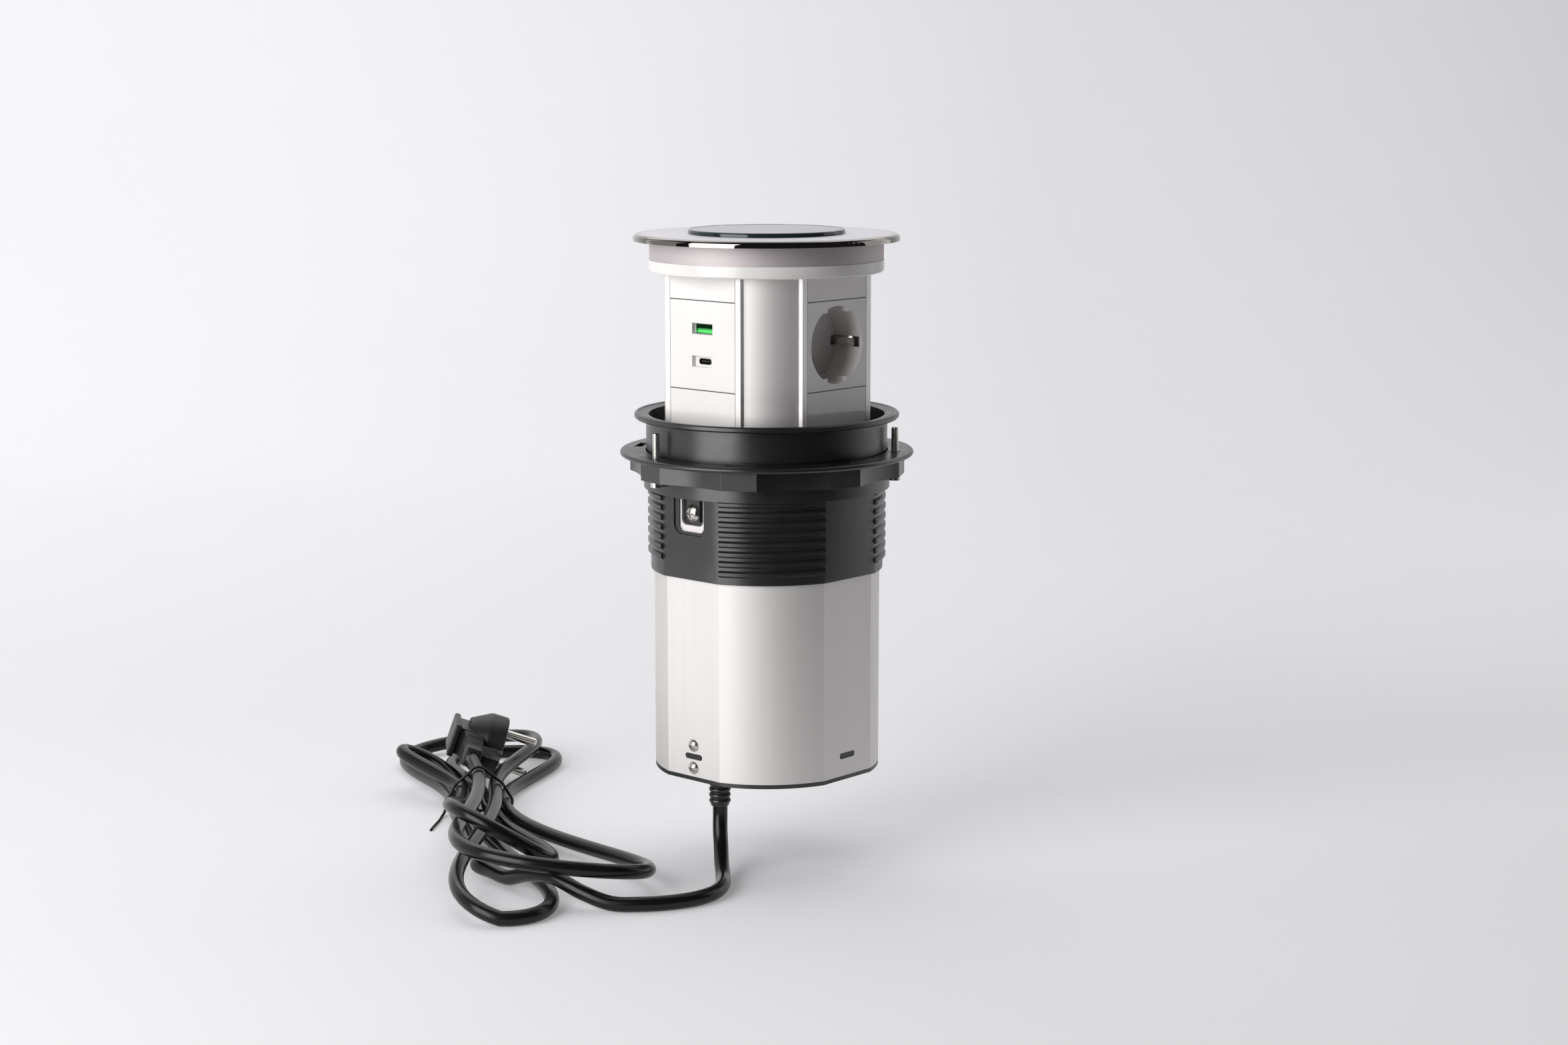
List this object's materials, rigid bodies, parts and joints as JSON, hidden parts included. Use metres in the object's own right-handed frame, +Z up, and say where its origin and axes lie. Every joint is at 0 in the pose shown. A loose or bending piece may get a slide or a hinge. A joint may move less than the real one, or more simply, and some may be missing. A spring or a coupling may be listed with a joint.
{
  "type": "pop up desk socket",
  "caption": "Motorised pop up desk socket: a tower with earthed sockets, USB ports and a charging lid rises from a threaded sleeve with a locking ring; mains lead with plug.",
  "frame": {"origin": "on the lift axis at the desk surface, the underside of the lip", "axes": "+Z up along the lift axis, the USB face looks along -Y and sockets look along +X, +Y and -X"},
  "size_m": [0.3678, 0.2609, 0.3273],
  "materials": {
    "black_plastic": "satin black moulding",
    "satin_aluminium": "satin anodised",
    "white_plastic": "satin white moulding",
    "light_plastic": "translucent grey",
    "dark_chrome": "polished dark chrome",
    "lid_plate": "satin silver",
    "dark_glass": "polished black glass",
    "nickel": "bright nickel",
    "steel": "machined",
    "brass": "turned",
    "green_plastic": "bright green",
    "board_green": "solder resist",
    "part_colours": "mixed component bodies",
    "lead_pvc": "semi gloss black sheath",
    "ferrite": "matt",
    "copper": "enamelled wire"
  },
  "bodies": {
    "base": {"collar_sleeve": "black_plastic", "outer_body": "satin_aluminium", "guide_frame": "black_plastic", "guide_screws": "nickel", "base_cap": "black_plastic", "body_screws": "nickel", "strain_relief": "black_plastic", "gear_motor": "steel", "control_board": "board_green", "board_parts": "part_colours", "service_lead": "lead_pvc", "cord_run": "lead_pvc", "cord_hank": "lead_pvc", "cord_tie": "lead_pvc", "plug_body": "black_plastic", "plug_pins": "nickel", "plug_earth": "nickel"},
    "screw": {"motor_shaft": "steel", "shaft_coupling": "satin_aluminium", "lead_screw": "steel"},
    "tower": {"tower_columns": "satin_aluminium", "tower_base": "black_plastic", "tower_screws": "nickel", "lead_nut": "brass", "upper_blanks": "white_plastic", "lower_blanks": "white_plastic", "usb_panel": "white_plastic", "usb_a_shell": "nickel", "usb_a_tongue": "green_plastic", "usb_c_shell": "nickel", "usb_c_tongue": "black_plastic", "usb_board": "board_green", "socket_right": "white_plastic", "socket_back": "white_plastic", "socket_left": "white_plastic", "contact_carriers": "white_plastic", "line_contacts": "brass", "earth_clips": "nickel", "top_ring": "white_plastic", "led_board": "white_plastic", "led_chips": "white_plastic", "light_ring": "light_plastic", "lid_rim": "dark_chrome", "lid_plate": "lid_plate", "charger_case": "dark_glass", "charger_coil": "copper", "coil_ferrite": "ferrite", "charger_board": "board_green", "charger_glass": "dark_glass"},
    "ring": {"locking_ring": "black_plastic", "jack_nuts": "nickel"},
    "jack_1": {"jack_screw_1": "nickel"},
    "jack_2": {"jack_screw_2": "nickel"},
    "jack_3": {"jack_screw_3": "nickel"}
  },
  "joints": [
    {"name": "lift", "type": "slide", "parent": "base", "child": "tower", "axis": [0, 0, 1], "range_m": [-0.087, 0], "deforming": ["service_lead"]},
    {"name": "screw_spin", "type": "hinge", "parent": "base", "child": "screw", "pos_m": [0, 0, 0], "axis": [0, 0, 1], "range_deg": [-3920, 0]},
    {"name": "ring_climb", "type": "slide", "parent": "base", "child": "ring", "axis": [0, 0, 1], "range_m": [-0.038, 0.0037]},
    {"name": "jack_1_drive", "type": "slide", "parent": "ring", "child": "jack_1", "axis": [0, 0, 1], "range_m": [-0.012, 0]},
    {"name": "jack_2_drive", "type": "slide", "parent": "ring", "child": "jack_2", "axis": [0, 0, 1], "range_m": [-0.012, 0]},
    {"name": "jack_3_drive", "type": "slide", "parent": "ring", "child": "jack_3", "axis": [0, 0, 1], "range_m": [-0.012, 0]}
  ],
  "couplings": [
    {"joint": "screw_spin", "follows": "lift", "rad_per_m": 785.4}
  ]
}
